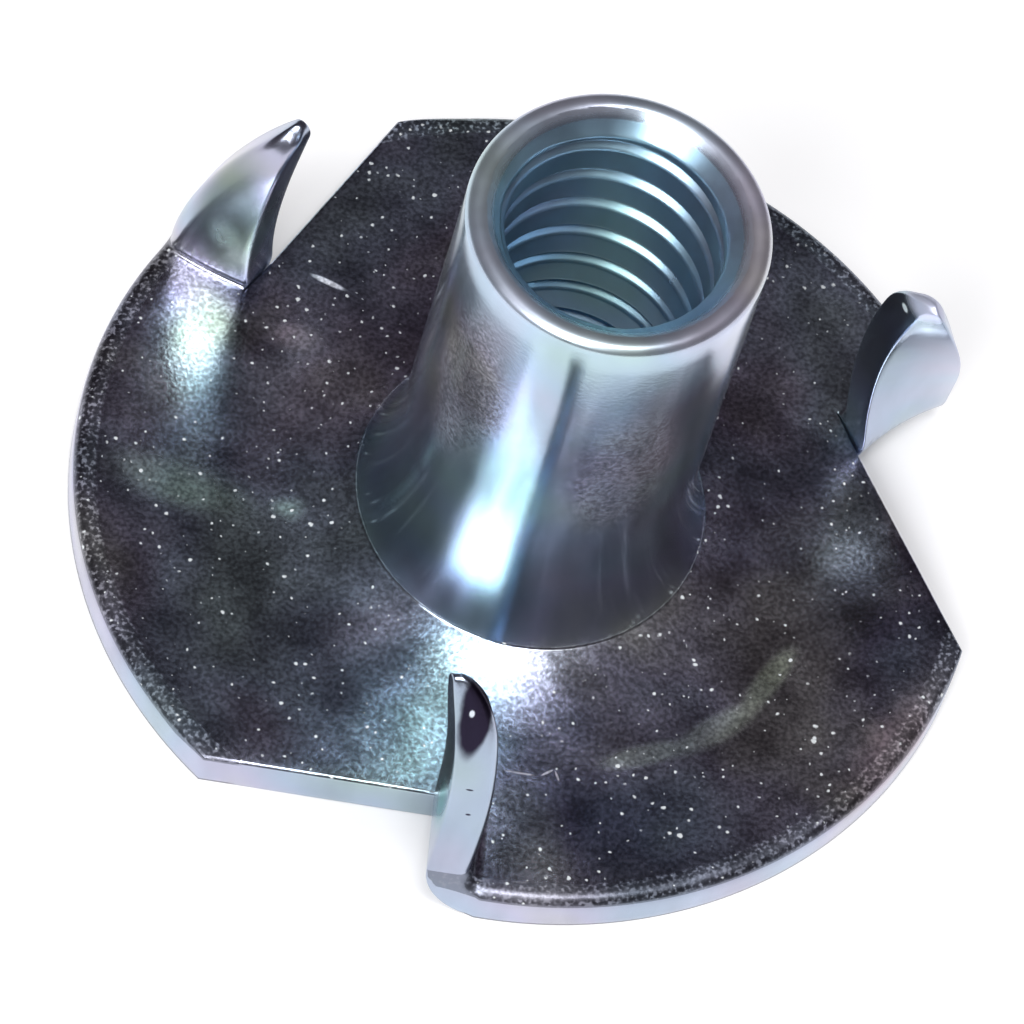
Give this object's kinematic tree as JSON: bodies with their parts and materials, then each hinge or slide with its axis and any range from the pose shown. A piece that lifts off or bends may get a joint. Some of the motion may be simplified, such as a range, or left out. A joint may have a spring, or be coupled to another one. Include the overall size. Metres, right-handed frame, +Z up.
{
  "type": "tee nut",
  "caption": "Pronged tee nut: a threaded barrel on a round flange, with pointed prongs folded up beside it to bite into wood.",
  "frame": {"origin": "on the barrel's axis, at the flat underside of the flange", "axes": "+Z up the barrel from the flange to the mouth; -Y along the radius on which the first prong is folded"},
  "size_m": [0.0189, 0.019, 0.0118],
  "materials": {
    "plated_steel": "bright zinc plate with a clear-blue passivation"
  },
  "bodies": {
    "root": {"tee_nut": "plated_steel"}
  },
  "joints": []
}
